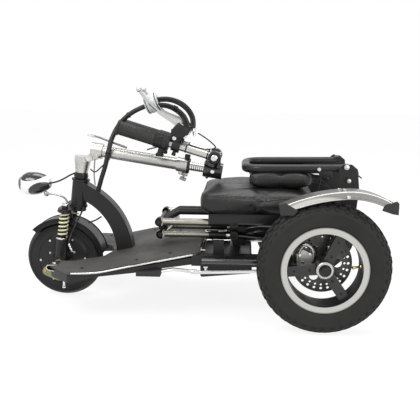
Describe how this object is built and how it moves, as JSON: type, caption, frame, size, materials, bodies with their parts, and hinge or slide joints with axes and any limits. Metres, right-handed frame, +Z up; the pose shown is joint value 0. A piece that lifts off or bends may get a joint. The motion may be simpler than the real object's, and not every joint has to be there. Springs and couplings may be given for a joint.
{
  "type": "folding three-wheel electric scooter",
  "caption": "Folding three-wheel electric scooter shown folded: hub-motor front wheel, wide footboard, seat on a lift, folded stem and bars.",
  "frame": {"origin": "on the floor at the middle of the folded scooter's length and width", "axes": "+Z up, -X forward, +Y to the rider's right"},
  "size_m": [1.0591, 0.61, 0.6322],
  "materials": {
    "frame_black": "satin",
    "board_mat": "matte",
    "battery_case": "matte",
    "bright_steel": "polished",
    "satin_aluminium": "satin",
    "black_rubber": "matte",
    "tyre_rubber": "matte",
    "lamp_white": "gloss",
    "fender_black": "gloss",
    "motor_black": "satin",
    "rim_black": "satin",
    "disc_steel": "brushed",
    "spring_cream": "gloss",
    "lever_metal": "satin",
    "olive_steel": "satin",
    "black_plastic": "satin",
    "cable_black": "satin",
    "sleeve_white": "satin",
    "black_vinyl": "satin"
  },
  "bodies": {
    "frame": {"footboard": "board_mat", "board_rails": "frame_black", "chassis": "frame_black", "neck": "frame_black", "head_tube": "frame_black", "battery_box": "battery_case", "lift_posts": "frame_black", "stub_axles": "bright_steel", "rear_fenders": "satin_aluminium", "fender_stays": "frame_black", "calipers": "bright_steel", "side_guards": "bright_steel", "foot_blocks": "black_rubber"},
    "fork": {"fork_crown": "frame_black", "fork_legs": "frame_black", "fork_springs": "spring_cream", "front_axle": "bright_steel", "torque_arms": "olive_steel", "front_fender": "fender_black", "fender_bracket": "frame_black", "headlight": "lamp_white", "lamp_bracket": "frame_black", "stem_socket": "satin_aluminium", "steerer_collar": "frame_black", "loom_lower": "cable_black", "lamp_cable": "cable_black"},
    "front_wheel": {"front_tyre": "tyre_rubber", "hub_motor": "motor_black"},
    "rear_wheel_left": {"rear_rim_left": "rim_black", "rear_tyre_left": "tyre_rubber", "brake_disc_left": "disc_steel"},
    "rear_wheel_right": {"rear_rim_right": "rim_black", "rear_tyre_right": "tyre_rubber", "brake_disc_right": "disc_steel"},
    "stem": {"stem_hinge": "satin_aluminium", "stem_tube": "satin_aluminium", "stem_clamp": "satin_aluminium", "fold_lever": "bright_steel"},
    "inner_stem": {"inner_stem": "bright_steel", "bar_block": "frame_black", "loom_upper": "cable_black", "cable_sleeve": "sleeve_white"},
    "bar_half_left": {"bar_left": "satin_aluminium", "grip_left": "black_rubber", "brake_lever_left": "lever_metal", "bar_controls_left": "black_plastic", "control_cables": "cable_black"},
    "bar_half_right": {"bar_right": "satin_aluminium", "grip_right": "black_rubber", "brake_lever_right": "lever_metal", "bar_controls_right": "black_plastic"},
    "upper_lift_arms": {"upper_arms": "bright_steel"},
    "lower_lift_arms": {"lower_arms": "bright_steel"},
    "seat": {"seat_frame": "frame_black", "seat_cushion": "black_vinyl"},
    "backrest": {"backrest_frame": "frame_black", "backrest_pad": "black_vinyl"}
  },
  "joints": [
    {"name": "front_wheel_turn", "type": "hinge", "parent": "fork", "child": "front_wheel", "pos_m": [-0.40202, 0, 0.117], "axis": [0, 1, 0], "continuous": true},
    {"name": "rear_left_turn", "type": "hinge", "parent": "frame", "child": "rear_wheel_left", "pos_m": [0.352, -0.266, 0.175], "axis": [0, 1, 0], "continuous": true},
    {"name": "rear_right_turn", "type": "hinge", "parent": "frame", "child": "rear_wheel_right", "pos_m": [0.352, 0.266, 0.175], "axis": [0, 1, 0], "continuous": true},
    {"name": "steering", "type": "hinge", "parent": "frame", "child": "fork", "pos_m": [-0.347, 0, 0.36], "axis": [0.1219, 0, 0.9925], "range_deg": [-35, 35], "deforming": ["loom_lower"]},
    {"name": "stem_fold", "type": "hinge", "parent": "fork", "child": "stem", "pos_m": [-0.31608, 0, 0.42472], "axis": [0, -1, 0], "range_deg": [0, 91.8], "deforming": ["loom_lower"]},
    {"name": "stem_slide", "type": "slide", "parent": "stem", "child": "inner_stem", "axis": [0.9882, 0, -0.153], "range_m": [0, 0.2], "deforming": ["loom_upper"]},
    {"name": "bar_fold_left", "type": "hinge", "parent": "inner_stem", "child": "bar_half_left", "pos_m": [0.05552, -0.044, 0.43276], "axis": [0.2874, 0, 0.9578], "range_deg": [0, 90], "deforming": ["loom_upper", "control_cables"]},
    {"name": "bar_fold_right", "type": "hinge", "parent": "inner_stem", "child": "bar_half_right", "pos_m": [0.05552, 0.044, 0.43276], "axis": [-0.2874, 0, -0.9578], "range_deg": [0, 90]},
    {"name": "seat_lift", "type": "hinge", "parent": "frame", "child": "upper_lift_arms", "pos_m": [0.115, 0, 0.25], "axis": [0, 1, 0], "range_deg": [0, 60]},
    {"name": "seat_lift_lower", "type": "hinge", "parent": "frame", "child": "lower_lift_arms", "pos_m": [0.115, 0, 0.208], "axis": [0, 1, 0], "range_deg": [0, 60]},
    {"name": "seat_level", "type": "hinge", "parent": "upper_lift_arms", "child": "seat", "pos_m": [-0.1, 0, 0.25], "axis": [0, 1, 0], "range_deg": [-60, 0]},
    {"name": "backrest_fold", "type": "hinge", "parent": "seat", "child": "backrest", "pos_m": [0.424, 0, 0.412], "axis": [0, 1, 0], "range_deg": [0, 95]}
  ],
  "couplings": [
    {"joint": "stem_slide", "follows": "stem_fold", "m_per_rad": 0.12481},
    {"joint": "seat_lift", "follows": "stem_fold", "ratio": 0.65353},
    {"joint": "seat_lift_lower", "follows": "stem_fold", "ratio": 0.65353},
    {"joint": "seat_level", "follows": "stem_fold", "ratio": -0.65353}
  ]
}
